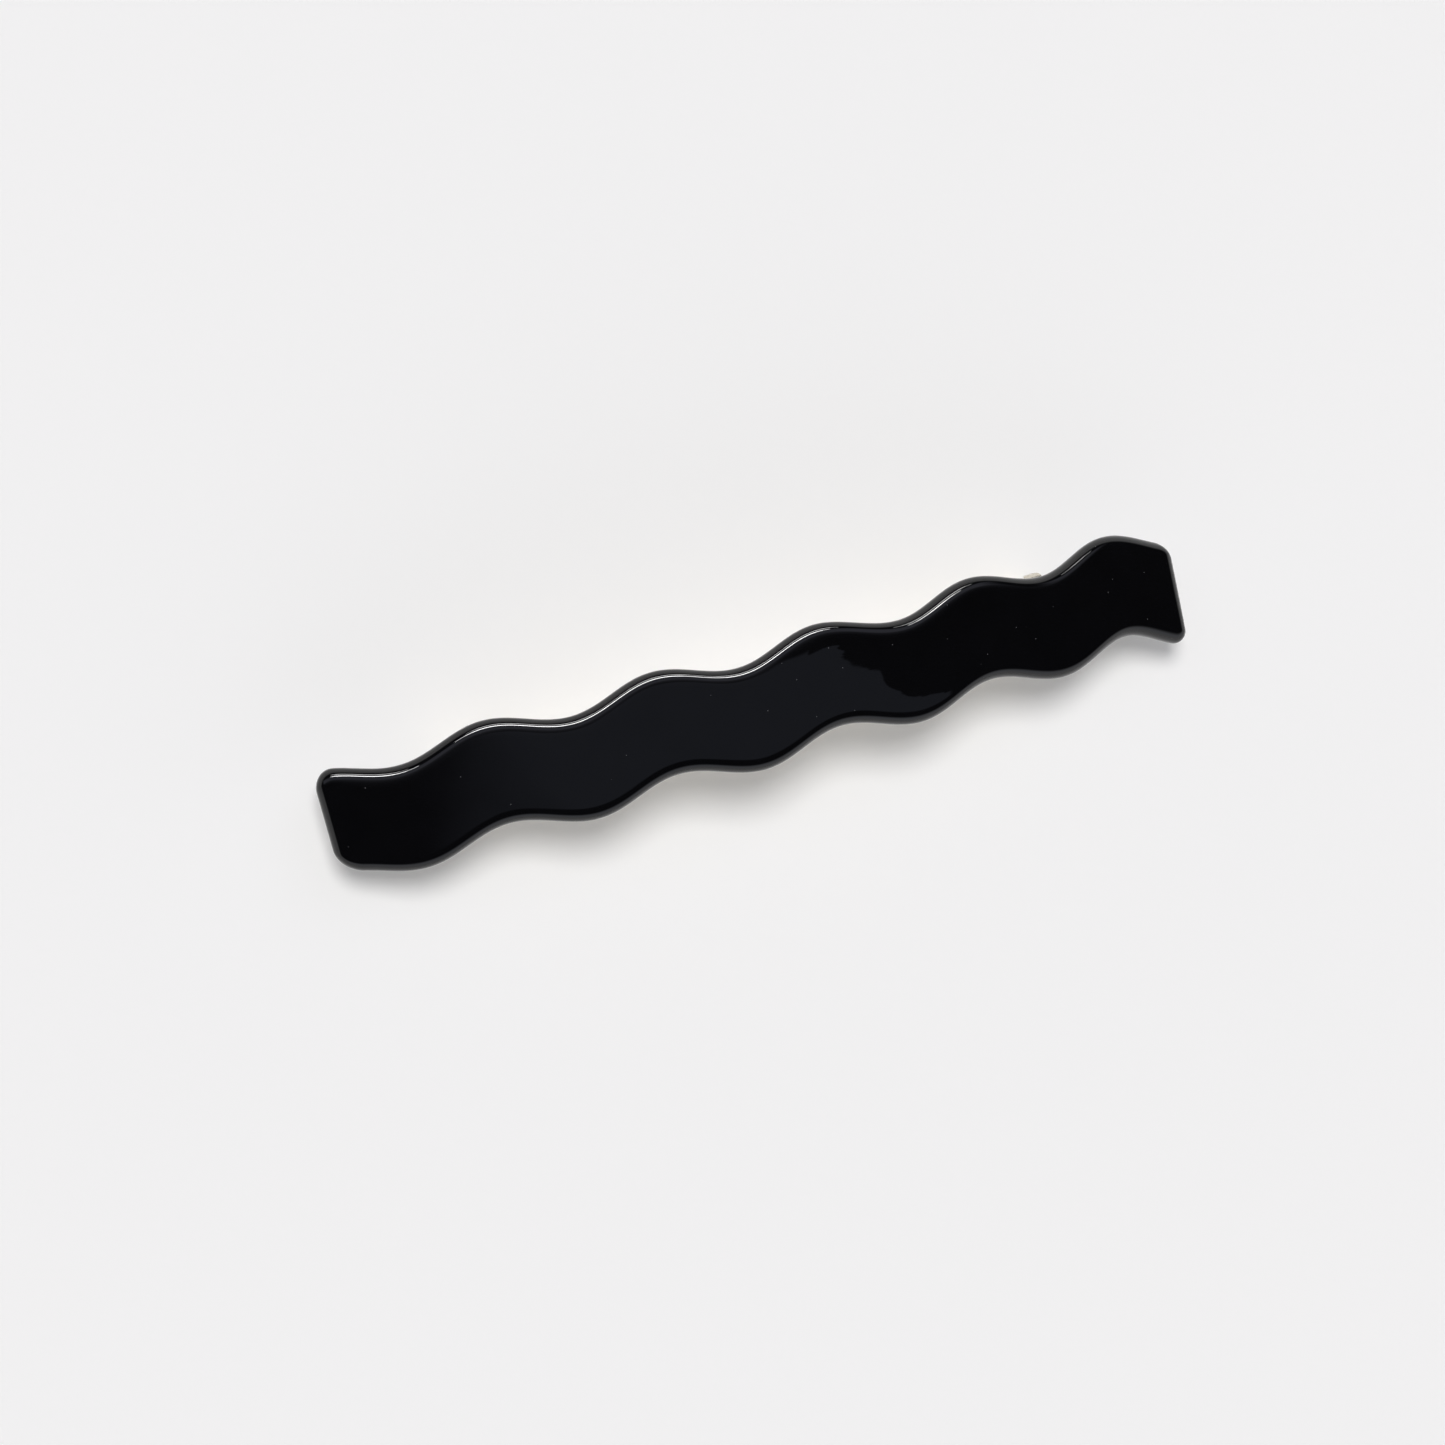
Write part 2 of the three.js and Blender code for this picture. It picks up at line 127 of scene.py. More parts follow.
def frame_at(s):
    """A frame on the middle surface: x along the arch, z out of the bar's face."""
    return Matrix.Translation(arch(s, 0, 0)) @ Matrix.Rotation(s / ARCH_RADIUS, 4, "Y")


pin_low, pin_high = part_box("hinge_pin")
ARCH_ORIGIN = (pin_low + pin_high) / 2 / MM - arch(HINGE_S, 0, PIN_HEIGHT)
INTO_FRAME = Matrix.Scale(MM, 4) @ Matrix.Translation(ARCH_ORIGIN)


# ---- Materials ----


class Shader:
    """A material's node tree round one Principled shader."""

    def __init__(self, name):
        self.material = bpy.data.materials.new(name)
        self.material.use_nodes = True
        self.tree = self.material.node_tree
        self.surface = self.tree.nodes["Principled BSDF"]
        self.place = self.add("ShaderNodeTexCoord").outputs["Object"]

    def add(self, kind, **settings):
        node = self.tree.nodes.new(kind)
        for key, value in settings.items():
            setattr(node, key, value)
        return node

    def link(self, output, socket):
        self.tree.links.new(output, socket)

    def stretched(self, scale):
        mapping = self.add("ShaderNodeMapping")
        mapping.inputs["Scale"].default_value = scale
        self.link(self.place, mapping.inputs["Vector"])
        return mapping.outputs["Vector"]

    def noise(self, scale, detail=4.0, stretch=(1, 1, 1)):
        node = self.add("ShaderNodeTexNoise")
        node.inputs["Scale"].default_value = scale
        node.inputs["Detail"].default_value = detail
        self.link(self.stretched(stretch), node.inputs["Vector"])
        return node.outputs["Fac"]

    def remap(self, value, from_low, from_high, to_low, to_high):
        node = self.add("ShaderNodeMapRange")
        node.inputs["From Min"].default_value = from_low
        node.inputs["From Max"].default_value = from_high
        node.inputs["To Min"].default_value = to_low
        node.inputs["To Max"].default_value = to_high
        self.link(value, node.inputs["Value"])
        return node.outputs["Result"]

    def mix(self, amount, low, high):
        """A colour between two, each of them a tuple or an output."""
        node = self.add("ShaderNodeMix", data_type="RGBA")
        for socket, value in ((6, low), (7, high)):
            if isinstance(value, tuple):
                node.inputs[socket].default_value = (*value, 1)
            else:
                self.link(value, node.inputs[socket])
        self.link(amount, node.inputs["Factor"])
        return node.outputs[2]

    def math(self, operation, a, b):
        node = self.add("ShaderNodeMath", operation=operation)
        for socket, value in ((0, a), (1, b)):
            if isinstance(value, (int, float)):
                node.inputs[socket].default_value = value
            else:
                self.link(value, node.inputs[socket])
        return node.outputs[0]

    def bump(self, height, distance, strength=1.0, under=None):
        node = self.add("ShaderNodeBump")
        node.inputs["Strength"].default_value = strength
        node.inputs["Distance"].default_value = distance
        self.link(height, node.inputs["Height"])
        if under is not None:
            self.link(under, node.inputs["Normal"])
        return node.outputs["Normal"]


def acetate_material():
    """Black cellulose acetate, tumbled and buffed: mirror gloss, faint polishing haze, a few dust specks."""
    shader = Shader("black_acetate")
    surface = shader.surface
    cloud = shader.noise(260.0, 5.0)
    black = shader.mix(cloud, (0.0012, 0.0012, 0.0016), (0.0026, 0.0026, 0.0034))
    cells = shader.add("ShaderNodeTexVoronoi")
    cells.inputs["Scale"].default_value = 1000.0
    shader.link(shader.place, cells.inputs["Vector"])
    near = shader.math("LESS_THAN", cells.outputs["Distance"], 0.055)
    picked = shader.add("ShaderNodeSeparateColor")
    shader.link(cells.outputs["Color"], picked.inputs[0])
    rare = shader.math("GREATER_THAN", picked.outputs[0], 0.72)
    speck = shader.math("MULTIPLY", near, rare)
    shader.link(shader.mix(speck, black, (0.07, 0.07, 0.075)), surface.inputs["Base Color"])
    haze = shader.noise(900.0, 6.0, (0.25, 1.0, 1.0))
    gloss = shader.remap(haze, 0.35, 0.75, 0.018, 0.036)
    shader.link(shader.math("ADD", gloss, shader.math("MULTIPLY", speck, 0.5)), surface.inputs["Roughness"])
    surface.inputs["IOR"].default_value = 1.48
    ripple = shader.bump(shader.noise(160.0, 2.0), 0.00001, 0.5)
    hairline = shader.noise(2400.0, 3.0, (0.04, 1.0, 1.0))
    shader.link(shader.bump(hairline, 0.000001, 0.25, ripple), surface.inputs["Normal"])
    return shader.material


def metal_material(name, tint, dull, grain):
    """Pale gold plate over steel: rolling grain along the strip, clouded sheen and worn, brighter streaks."""
    shader = Shader(name)
    surface = shader.surface
    surface.inputs["Metallic"].default_value = 1.0
    cloud = shader.noise(340.0, 5.0)
    streaks = shader.noise(grain, 5.0, (0.05, 1.0, 1.0))
    colour = shader.mix(cloud, tint, dull)
    worn = tuple(0.5 * channel + 0.36 for channel in tint)
    wear = shader.remap(streaks, 0.62, 0.80, 0.0, 0.55)
    shader.link(shader.mix(wear, colour, worn), surface.inputs["Base Color"])
    sheen = shader.remap(cloud, 0.3, 0.7, 0.16, 0.30)
    brushed = shader.remap(streaks, 0.3, 0.7, 0.0, 0.10)
    shader.link(shader.math("ADD", sheen, brushed), surface.inputs["Roughness"])
    dents = shader.bump(shader.noise(700.0, 3.0), 0.00001, 0.35)
    shader.link(shader.bump(streaks, 0.000006, 0.5, dents), surface.inputs["Normal"])
    return shader.material


ACETATE = acetate_material()
PLATED = metal_material("plated_steel", (0.82, 0.74, 0.58), (0.70, 0.62, 0.46), 2600.0)
SPRING = metal_material("spring_steel", (0.79, 0.74, 0.65), (0.66, 0.61, 0.52), 3400.0)


# ---- Mesh tools ----


def mesh_from(points, faces):
    mesh = bpy.data.meshes.new("made")
    mesh.from_pydata([tuple(p) for p in points], [], faces)
    made = bmesh.new()
    made.from_mesh(mesh)
    bmesh.ops.remove_doubles(made, verts=made.verts, dist=1e-5)
    bmesh.ops.recalc_face_normals(made, faces=made.faces)
    made.to_mesh(mesh)
    made.free()
    return mesh


def loft(rings):
    """Skins closed rings of points, one after another, and caps both ends."""
    count = len(rings[0])
    points = [p for ring in rings for p in ring]
    faces = []
    for i in range(len(rings) - 1):
        for j in range(count):
            k = (j + 1) % count
            faces.append((i * count + j, i * count + k, (i + 1) * count + k, (i + 1) * count + j))
    last = (len(rings) - 1) * count
    faces.append(tuple(reversed(range(count))))
    faces.append(tuple(range(last, last + count)))
    return mesh_from(points, faces)


def turned(profile, place, segments=72):
    """A turned solid round the local z axis of a frame, from (radius, z) points that start and end on it."""
    rings = []
    for i in range(segments):
        angle = 2 * math.pi * i / segments
        direction = Vector((math.cos(angle), math.sin(angle), 0))
        rings.append([place @ (direction * radius + Vector((0, 0, z))) for radius, z in profile])
    count = len(profile)
    faces = []
    for i in range(segments):
        k = (i + 1) % segments
        for j in range(count - 1):
            faces.append((i * count + j, k * count + j, k * count + j + 1, i * count + j + 1))
    return mesh_from([p for ring in rings for p in ring], faces)


def rounded(corners, chord=0.12):
    """The points of a polygon whose corners (x, y, radius) are rounded."""
    points = []
    for i, (x, y, radius) in enumerate(corners):
        here = Vector((x, y))
        before = (Vector(corners[i - 1][:2]) - here).normalized()
        after = (Vector(corners[(i + 1) % len(corners)][:2]) - here).normalized()
        half = before.angle(after) / 2
        centre = here + (before + after).normalized() * (radius / math.sin(half))
        reach = radius / math.tan(half)
        first = here + before * reach - centre
        last = here + after * reach - centre
        start = math.atan2(first.y, first.x)
        sweep = (math.atan2(last.y, last.x) - start + math.pi) % (2 * math.pi) - math.pi
        steps = max(3, math.ceil(abs(sweep) * radius / chord))
        for k in range(steps + 1):
            angle = start + sweep * k / steps
            points.append((centre.x + radius * math.cos(angle), centre.y + radius * math.sin(angle)))
    return points


def circle(x, y, radius, segments=40):
    turns = [2 * math.pi * i / segments for i in range(segments)]
    return [(x + radius * math.cos(a), y + radius * math.sin(a)) for a in turns]


def mirrored(half):
    """A closed outline from its corners on the +y side, listed from its right end to its left."""
    return half + [(x, -y, radius) for x, y, radius in reversed(half)]


def evaluated(obj):
    """The object's final mesh, modifiers and curve settings applied; the object is then deleted."""
    bpy.context.view_layer.update()
    graph = bpy.context.evaluated_depsgraph_get()
    mesh = bpy.data.meshes.new_from_object(obj.evaluated_get(graph))
    bpy.data.objects.remove(obj)
    return mesh


def linked(name, data):
    obj = bpy.data.objects.new(name, data)
    bpy.context.scene.collection.objects.link(obj)
    return obj


def blank(outline, holes, thickness, edge):
    """A flat stamped blank in the plane z = 0 with rolled edges."""
    curve = bpy.data.curves.new("blank", "CURVE")
    curve.dimensions = "2D"
    curve.fill_mode = "BOTH"
    curve.extrude = thickness / 2 - edge
    curve.bevel_depth = edge
    curve.bevel_resolution = 3
    curve.offset = -edge
    for loop in (outline, *holes):
        spline = curve.splines.new("POLY")
        spline.points.add(len(loop) - 1)
        for point, (x, y) in zip(spline.points, loop):
            point.co = (x, y, 0, 1)
        spline.use_cyclic_u = True
    return evaluated(linked("blank", curve))


def formed(mesh, cuts_x, cuts_y, shape):
    """Slices a blank along lines of constant x and y, then moves each point to shape(x, y, z)."""
    sheet = bmesh.new()
    sheet.from_mesh(mesh)
    bmesh.ops.remove_doubles(sheet, verts=sheet.verts, dist=1e-4)
    for axis, places in ((Vector((1, 0, 0)), cuts_x), (Vector((0, 1, 0)), cuts_y)):
        for place in places:
            parts = sheet.verts[:] + sheet.edges[:] + sheet.faces[:]
            bmesh.ops.bisect_plane(sheet, geom=parts, plane_co=axis * place, plane_no=axis, dist=1e-5)
    for vertex in sheet.verts:
        vertex.co = shape(*vertex.co)
    bmesh.ops.recalc_face_normals(sheet, faces=sheet.faces)
    sheet.to_mesh(mesh)
    sheet.free()
    return mesh


def folded(y, n, start, radius, direction):
    """Where a blank's point goes when both flaps past |y| = start fold square, up (1) or down (-1)."""
    over = abs(y) - start
    if over <= 0:
        return y, n
    turn = min(over / radius, math.pi / 2)
    straight = max(0.0, over - radius * math.pi / 2)
    across = start + radius * math.sin(turn) + straight * math.cos(turn) - direction * n * math.sin(turn)
    rise = radius * (1 - math.cos(turn)) + straight * math.sin(turn)
    return math.copysign(across, y), direction * rise + n * math.cos(turn)


def combined(mesh, other, operation):
    """One closed mesh from two: their UNION or DIFFERENCE."""
    base = linked("base", mesh)
    tool = linked("tool", other)
    modifier = base.modifiers.new("combine", "BOOLEAN")
    modifier.operation = operation
    modifier.solver = "EXACT"
    modifier.object = tool
    result = evaluated(base)
    bpy.data.objects.remove(tool)
    return result


def evenly(low, high, step):
    count = max(1, round((high - low) / step))
    return [low + (high - low) * i / count for i in range(count + 1)]


def strip_section(half_width, half_thickness, edge, corner_steps=4):
    """A rounded rectangle as (across, through) points."""
    section = []
    for turn, (a, b) in enumerate(((1, 1), (-1, 1), (-1, -1), (1, -1))):
        for i in range(corner_steps + 1):
            angle = math.pi / 2 * (turn + i / corner_steps)
            u = a * (half_width - edge) + edge * math.cos(angle)
            v = b * (half_thickness - edge) + edge * math.sin(angle)
            section.append((u, v))
    return section


def swept_strip(path, half_widths, place, plane):
    """A strip of spring sheet along a path in a frame's "xz" or "yz" plane, as wide along the third axis."""
    rings = []
    for i, (a, b) in enumerate(path):
        before = path[max(0, i - 1)]
        after = path[min(len(path) - 1, i + 1)]
        along = Vector((after[0] - before[0], after[1] - before[1])).normalized()
        ring = []
        edge = min(ROLLED_EDGE, half_widths[i] * 0.9)
        for u, v in strip_section(half_widths[i], SHEET / 2, edge):
            p = (a - along.y * v, b + along.x * v)
            point = (p[0], u, p[1]) if plane == "xz" else (u, p[0], p[1])
            ring.append(place @ Vector(point))
        rings.append(ring)
    return loft(rings)


def arc_path(centre, radius, start, end, step=6.0):
    """Points on an arc, with angles in degrees."""
    angles = evenly(start, end, math.copysign(step, end - start))
    return [
        (centre[0] + radius * math.cos(math.radians(a)), centre[1] + radius * math.sin(math.radians(a)))
        for a in angles
    ]


def add_piece(name, mesh, node, body, material):
    """Brings a mesh into the frame as the visible piece that stands for a CAD node."""
    mesh.transform(INTO_FRAME)
    mesh.materials.clear()
    mesh.materials.append(material)
    mesh.shade_smooth()
    piece = linked(name, mesh)
    weighted = piece.modifiers.new("weighted_normals", "WEIGHTED_NORMAL")
    weighted.keep_sharp = True
    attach(piece, body)
    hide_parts(node)
    return piece


# ---- Acetate bar ----

BODY_STEP = 0.25
EDGE_STEPS = 32
FACE_STEPS = 32
CORNER_STEPS = 14
CROWN = 0.08  # how far the front face swells between its softened edges
CROWN_POWER = 3
CROWN_RUN = 5.0  # length over which the swell dies away at each end
RIVET_HOLE_TOP = -0.2
RIVET_HOLE_MOUTH = -3  # clear of the bar's back
RIVET_HOLE_PLAY = 0.02


def rear_lag(s):
    share = min(1.0, max(0.0, (s - REAR_LAG_START) / (REAR_LAG_END - REAR_LAG_START)))
    return REAR_LAG * share**2 * (3 - 2 * share)


def body_centre(s, lag):
    wave = WAVE_HEIGHT * math.cos(2 * math.pi * (s - lag - WAVE_CREST) / WAVE_PITCH)
    past = max(0.0, abs(s) - DROOP_START) / (HALF_LENGTH - DROOP_START)
    return wave - (DROOP_RIGHT if s > 0 else DROOP_LEFT) * past**2


def rounded_inset(distance, radius):
    """How far a round of this radius has pulled in at a distance from the end that it closes."""
    left = max(0.0, radius - distance)
    return radius - math.sqrt(radius**2 - left**2)


def polish_wave(s, y):
    """The slight unevenness that hand buffing leaves on the flat faces."""
    slow = 0.003 * math.sin(0.31 * s + 0.62 * y + 0.8) * math.cos(0.42 * y - 0.9)
    quick = 0.0015 * math.sin(0.83 * s - 0.7 * y) + 0.0008 * math.sin(1.37 * s + 1.1 * y + 2.0)
    return slow + quick


def crown(s):
    """The height of the front face's swell on the middle line."""
    near_end = max(0.0, 1 - (HALF_LENGTH - abs(s)) / CROWN_RUN)
    return CROWN * (1 - near_end**CROWN_POWER)


def rim(half_width, edge, swell):
    """One rounded edge as (across, height) points from the back to the front face.

    It turns until its slope is the one that the front face starts with.
    """
    back_height = HALF_THICKNESS * edge / EDGE_RADIUS
    front_height = back_height * (1 - CROWN / HALF_THICKNESS)
    blend = math.atan(CROWN_POWER * swell / (half_width - edge))
    points = []
    for i in range(EDGE_STEPS + 1):
        turn = (math.pi - blend) * i / EDGE_STEPS - math.pi / 2
        height = back_height if turn < 0 else front_height
        points.append((half_width - edge * (1 - math.cos(turn)), height * math.sin(turn)))
    return points


def face(start, end, swell):
    """The points of a face between its first and last points, which aren't among them."""
    points = []
    for i in range(1, FACE_STEPS):
        share = 1 - 2 * i / FACE_STEPS
        across = start[0] * share if share > 0 else -end[0] * share
        points.append((across, start[1] + swell * (1 - abs(share) ** CROWN_POWER)))
    return points


def body_ring(s):
    """The bar's cross-section at s: rear rim, crowned front, front rim and flat back."""
    from_end = HALF_LENGTH - abs(s)
    corners = CORNERS_LEFT if s < 0 else CORNERS_RIGHT
    rear_half, front_half = (HALF_WIDTH - rounded_inset(from_end, radius) for radius in corners)
    edge = EDGE_RADIUS - rounded_inset(from_end, EDGE_RADIUS)
    swell = crown(s)
    rear = rim(rear_half, edge, swell)
    front = [(-y, h) for y, h in reversed(rim(front_half, edge, swell))]
    # The front face ends as far in from the front outline as it starts from the rear one.
    face_end = (rear_half - front_half - rear[-1][0], rear[-1][1])
    ring = rear + face(rear[-1], face_end, swell) + front + face(front[-1], rear[0], 0)
    rear_middle, front_middle = body_centre(s, rear_lag(s)), body_centre(s, 0)
    slant = END_SLANT_RIGHT * max(0.0, s - DROOP_START) / (HALF_LENGTH - DROOP_START)
    points = []
    for y, h in ring:
        from_edge = rear_half - y if y > 0 else front_half + y
        inside = min(1.0, max(0.0, from_edge / EDGE_RADIUS)) * min(1.0, from_end / max(corners))
        middle = front_middle + (rear_middle - front_middle) * (front_half + y) / (front_half + rear_half)
        points.append(arch(s + slant * y, middle + y, h + polish_wave(s, y) * inside**2))
    return points


def acetate_bar():
    left = max(CORNERS_LEFT) - HALF_LENGTH
    right = HALF_LENGTH - max(CORNERS_RIGHT)
    turns = [math.sin(math.pi / 2 * i / CORNER_STEPS) for i in range(1, CORNER_STEPS + 1)]
    stations = [left - max(CORNERS_LEFT) * t for t in reversed(turns)]
    stations += evenly(left, right, BODY_STEP)
    stations += [right + max(CORNERS_RIGHT) * t for t in turns]
    body = loft([body_ring(s) for s in stations])
    radius = RIVET_RADIUS + RIVET_HOLE_PLAY
    top, mouth = RIVET_HOLE_TOP, RIVET_HOLE_MOUTH
    hole = [(0, mouth), (radius, mouth), (radius, top), (0, top)]
    for s in (-RIVET_S, RIVET_S):
        body = combined(body, turned(hole, frame_at(s)), "DIFFERENCE")
    return body


add_piece("acetate_bar", acetate_bar(), "wave_body", "bar_and_base", ACETATE)


# ---- Base plate ----

SLICE = 0.6
FOLD_RADIUS = 0.7  # of the middle of the sheet
FOLD_LENGTH = FOLD_RADIUS * math.pi / 2
FOLD_STEPS = 8
NOTCH = 0.35  # relief cut beside each folded leaf
NOTCH_DEPTH = 0.15  # how far it runs in past the fold
HOLE_PLAY = 0.03


def fold_cuts(start):
    """Where a blank is sliced along its two folds."""
    steps = [start + FOLD_LENGTH * i / FOLD_STEPS for i in range(FOLD_STEPS + 1)]
    return [-y for y in steps] + steps


def leaf_corners(strip_half_width, fold_start, leaf_radius, eye_y):
    """One hinge leaf on the +y side of a blank with its relief notches, from right to left."""
    root = fold_start - NOTCH_DEPTH
    tip = eye_y + leaf_radius
    right, left = HINGE_S + leaf_radius, HINGE_S - leaf_radius
    return [
        (right + NOTCH, strip_half_width, 0.1),
        (right + NOTCH, root, 0.15),
        (right, root, 0.15),
        (right, tip, leaf_radius * 0.99),
        (left, tip, leaf_radius * 0.99),
        (left, root, 0.15),
        (left - NOTCH, root, 0.15),
        (left - NOTCH, strip_half_width, 0.1),
    ]


def hinged_sheet(height, fold_start, leaf_radius, direction):
    """The shape of an arched sheet at a height whose two hinge leaves fold up (1) or down (-1)."""
    hinge_frame = frame_at(HINGE_S)

    def shape(s, y, n):
        across, rise = folded(y, n, fold_start, FOLD_RADIUS, direction)
        if abs(y) > fold_start and abs(s - HINGE_S) <= leaf_radius + 1e-3:
            return hinge_frame @ Vector((s - HINGE_S, across, height + rise))
        return arch(s, y, height + n)

    return shape


def base_plate():
    height = (PLATE_TOP + PLATE_BOTTOM) / 2
    thickness = PLATE_TOP - PLATE_BOTTOM
    fold_start = PLATE_HALF_WIDTH - thickness / 2 - FOLD_RADIUS
    eye_y = fold_start + FOLD_LENGTH + (height - FOLD_RADIUS - PIN_HEIGHT)
    half = [
        (PLATE_END, PLATE_HALF_WIDTH, 2.4),
        *leaf_corners(PLATE_HALF_WIDTH, fold_start, EAR_RADIUS, eye_y),
        (-PLATE_END, PLATE_HALF_WIDTH, 0.6),
    ]
    holes = [circle(s, 0, PLAIN_HOLE_RADIUS) for s in PLAIN_HOLES]
    holes += [circle(s, 0, RIVET_RADIUS + HOLE_PLAY) for s in (-RIVET_S, RIVET_S)]
    holes += [circle(LATCH_S, 0, LATCH_RIVET_RADIUS + HOLE_PLAY)]
    holes += [circle(HINGE_S, y, EYE_RADIUS) for y in (-eye_y, eye_y)]
    sheet = blank(rounded(mirrored(half)), holes, thickness, ROLLED_EDGE)
    shape = hinged_sheet(height, fold_start, EAR_RADIUS, -1)
    return formed(sheet, evenly(-PLATE_END, PLATE_END, SLICE)[1:-1], fold_cuts(fold_start), shape)


add_piece("stamped_base_plate", base_plate(), "base_plate", "bar_and_base", PLATED)


# ---- Rivets and pin ----

BEVEL = 0.06
HEAD_RIM = 0.12  # height of the straight rim under a rivet's dome
HEAD_GAP = 0.02  # between a head and the sheet that it bears on
FIXING_TIP = -0.25
FIXING_HEAD = (1.4, 0.5)  # radius and height of the dome
PIN_HEAD = (1.0, 0.42)
PIN_HEAD_RIM = 0.1
PIN_PLAY = 0.03


def dome(radius, height, base, direction, steps=10):
    """A domed head as (radius, z) points, from its crown on the axis to its rim at z = base.

    Its sides stand a little fuller than an ellipse's.
    """
    points = []
    for i in range(steps + 1):
        angle = math.pi / 2 * i / steps
        points.append((radius * math.sin(angle) ** 0.9, base + direction * height * math.cos(angle)))
    return points


def rivet(s, sheet_bottom, tip, radius, head):
    """A rivet with a domed head under a sheet and a shank up through it."""
    seat = sheet_bottom - HEAD_GAP
    head_radius, head_height = head
    profile = dome(head_radius, head_height, seat - HEAD_RIM, -1)
    profile += [(head_radius, seat - BEVEL), (head_radius - BEVEL, seat), (radius, seat)]
    profile += [(radius, tip - BEVEL), (radius - BEVEL, tip), (0, tip)]
    return turned(profile, frame_at(s))


for side, s in (("left", -RIVET_S), ("right", RIVET_S)):
    mesh = rivet(s, PLATE_BOTTOM, FIXING_TIP, RIVET_RADIUS, FIXING_HEAD)
    add_piece("domed_rivet_" + side, mesh, "fixing_rivet_" + side, "bar_and_base", PLATED)


def hinge_pin():
    shank = PLATE_HALF_WIDTH + PIN_PLAY
    radius, height = PIN_HEAD
    half = dome(radius, height, -shank - PIN_HEAD_RIM, -1)
    half += [(radius, -shank - BEVEL), (radius - BEVEL, -shank), (PIN_RADIUS, -shank)]
    profile = half + [(r, -z) for r, z in reversed(half)]
    across = Matrix.Translation((0, 0, PIN_HEIGHT)) @ Matrix.Rotation(math.pi / 2, 4, "X")
    return turned(profile, frame_at(HINGE_S) @ across)


add_piece("peened_hinge_pin", hinge_pin(), "hinge_pin", "bar_and_base", PLATED)


# ---- Clasp arm ----


def clasp_arm():
    height = (ARM_TOP + ARM_BOTTOM) / 2
    thickness = ARM_TOP - ARM_BOTTOM
    fold_start = LUG_OUTSIDE - thickness / 2 - FOLD_RADIUS
    eye_y = fold_start + FOLD_LENGTH + (PIN_HEIGHT - height - FOLD_RADIUS)
    half = [
        (ARM_RIGHT, LATCH_FRAME_HALF_WIDTH, 0.9),
        (LATCH_FRAME_START, LATCH_FRAME_HALF_WIDTH, 0.9),
        (LATCH_FRAME_NECK, ARM_HALF_WIDTH, 0.9),
        *leaf_corners(ARM_HALF_WIDTH, fold_start, LUG_RADIUS, eye_y),
        (ARM_LEFT, ARM_HALF_WIDTH, 0.5),
    ]
    slot_half = [(LATCH_S + reach, SLOT_HALF_WIDTH, 0.4) for reach in (SLOT_HALF_LENGTH, -SLOT_HALF_LENGTH)]
    holes = [rounded(mirrored(slot_half))]
    holes += [circle(HINGE_S, y, EYE_RADIUS) for y in (-eye_y, eye_y)]
    sheet = blank(rounded(mirrored(half)), holes, thickness, ROLLED_EDGE)
    shape = hinged_sheet(height, fold_start, LUG_RADIUS, 1)
    return formed(sheet, evenly(ARM_LEFT, ARM_RIGHT, SLICE)[1:-1], fold_cuts(fold_start), shape)


add_piece("stamped_clasp_arm", clasp_arm(), "clasp_arm", "clasp_arm", PLATED)


# ---- Tension bar ----

BAR_END = 28.4
BAR_LOWEST_S = -1.0
BAR_LOWEST = -7.5
BAR_BOW = 0.0018
BAR_HALF_WIDTH = 2.0
BAR_NECK_HALF_WIDTH = 1.45
BAR_NECK_END = -29.5
BAR_NECK_TAPER = 2.0
BAR_TIP_LENGTH = 1.9
BAR_TIP_STEPS = 10
BAR_CURL_START = -28.5
CURL_LEAD_STEPS = 8
CURL_TURN = 300
CURL_RADIUS = 0.66 + SHEET / 2  # of the middle of the sheet round the pin


def bar_height(s):
    return BAR_LOWEST + BAR_BOW * (s - BAR_LOWEST_S) ** 2


def bar_half_width(s):
    taper = min(1.0, max(0.0, (s - BAR_NECK_END) / BAR_NECK_TAPER))
    width = BAR_NECK_HALF_WIDTH + (BAR_HALF_WIDTH - BAR_NECK_HALF_WIDTH) * taper**2 * (3 - 2 * taper)
    past = max(0.0, s - (BAR_END - BAR_TIP_LENGTH)) / BAR_TIP_LENGTH
    return width * max(0.12, math.sqrt(1 - past**2))


def tension_bar():
    """A spring strip that rises to its tip and curls under, behind and over the hinge pin."""
    hinge = frame_at(HINGE_S)
    eye = hinge @ Vector((0, 0, PIN_HEIGHT))
    tilt = math.degrees(HINGE_S / ARCH_RADIUS)
    under = hinge @ Vector((0, 0, PIN_HEIGHT - CURL_RADIUS))
    stations = []
    for i in range(BAR_TIP_STEPS, -1, -1):
        stations.append(BAR_END - BAR_TIP_LENGTH * (1 - math.sin(math.pi / 2 * i / BAR_TIP_STEPS)))
    stations += evenly(BAR_END - BAR_TIP_LENGTH, BAR_CURL_START, -SLICE)[1:]
    path = [arch(s, 0, bar_height(s)) for s in stations]
    widths = [bar_half_width(s) for s in stations]
    start, before = path[-1], path[-2]
    reach = (start - under).length
    leaving = (start - before).normalized() * reach
    arriving = (hinge.to_3x3() @ Vector((-1, 0, 0))) * reach
    for i in range(1, CURL_LEAD_STEPS + 1):
        t = i / CURL_LEAD_STEPS
        a, b = 2 * t**3 - 3 * t**2 + 1, t**3 - 2 * t**2 + t
        c, d = -2 * t**3 + 3 * t**2, t**3 - t**2
        path.append(a * start + b * leaving + c * under + d * arriving)
        widths.append(BAR_NECK_HALF_WIDTH)
    flat = [(p.x, p.z) for p in path]
    curl = arc_path((eye.x, eye.z), CURL_RADIUS, -90 - tilt, -90 - CURL_TURN - tilt)[1:]
    widths += [BAR_NECK_HALF_WIDTH] * len(curl)
    return swept_strip(flat + curl, widths, Matrix.Identity(4), "xz")


add_piece("bowed_tension_bar", tension_bar(), "tension_bar", "tension_bar", SPRING)


# ---- Pinch latch ----

